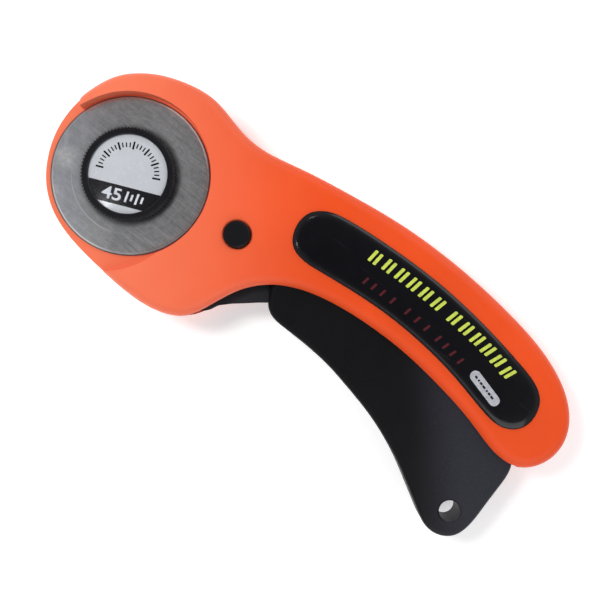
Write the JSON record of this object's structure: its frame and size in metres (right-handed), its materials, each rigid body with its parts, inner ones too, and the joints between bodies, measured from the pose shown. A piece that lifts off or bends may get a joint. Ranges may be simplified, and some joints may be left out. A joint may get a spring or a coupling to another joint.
{
  "type": "rotary cutter",
  "caption": "Squeeze-trigger rotary cutter: a round blade on a trigger lever that swings it past the guard rim, with a cross-bolt lock and a hang hole.",
  "frame": {"origin": "on the blade axis at rest, in the plane the tool rests on when it lies on its back, which is the rear face of the clamp nut", "axes": "+X along the tool from the blade towards the hang hole, +Z out of the blade side, +Y towards the back edge of the handle"},
  "size_m": [0.1676, 0.0636, 0.0217],
  "materials": {
    "orange_shell": "fine-textured moulded orange plastic",
    "gloss_inlay": "glossy black",
    "zinc_screw": "zinc plated",
    "steel_pin": "ground",
    "spring_wire": "drawn wire",
    "black_lever": "matt black with a fine grain",
    "brass_bushing": "turned",
    "steel_bolt": "turned",
    "black_cap": "satin black",
    "white_label": "glossy white dome",
    "steel_washer": "stamped",
    "blade_steel": "brushed tool steel",
    "black_button": "matt black"
  },
  "bodies": {
    "handle": {"front_shell": "orange_shell", "rear_shell": "orange_shell", "front_grip_inlay": "gloss_inlay", "rear_grip_inlay": "gloss_inlay", "shell_screws": "zinc_screw", "pivot_pin": "steel_pin", "return_spring": "spring_wire", "lock_detent_spring": "spring_wire"},
    "trigger": {"trigger_lever": "black_lever", "pivot_bushing": "brass_bushing", "blade_bolt": "steel_bolt", "bolt_cap": "black_cap", "cap_label": "white_label", "blade_washer": "steel_washer", "spring_washer": "steel_washer", "clamp_nut": "black_cap", "nut_insert": "brass_bushing"},
    "rotary_blade": {"blade": "blade_steel"},
    "lock": {"lock_plunger": "black_button", "lock_rear_button": "black_button"}
  },
  "joints": [
    {"name": "trigger_squeeze", "type": "hinge", "parent": "handle", "child": "trigger", "pos_m": [0.031, -0.0168, 0.0108], "axis": [0, 0, 1], "range_deg": [0, 12.5], "stiffness_Nm_per_rad": 0.35, "deforming": ["return_spring"]},
    {"name": "blade_spin", "type": "hinge", "parent": "trigger", "child": "rotary_blade", "pos_m": [0, 0, 0.0167], "axis": [0, 0, 1], "continuous": true},
    {"name": "lock_slide", "type": "slide", "parent": "handle", "child": "lock", "axis": [0, 0, 1], "range_m": [-0.0032, 0], "deforming": ["lock_detent_spring"]}
  ]
}
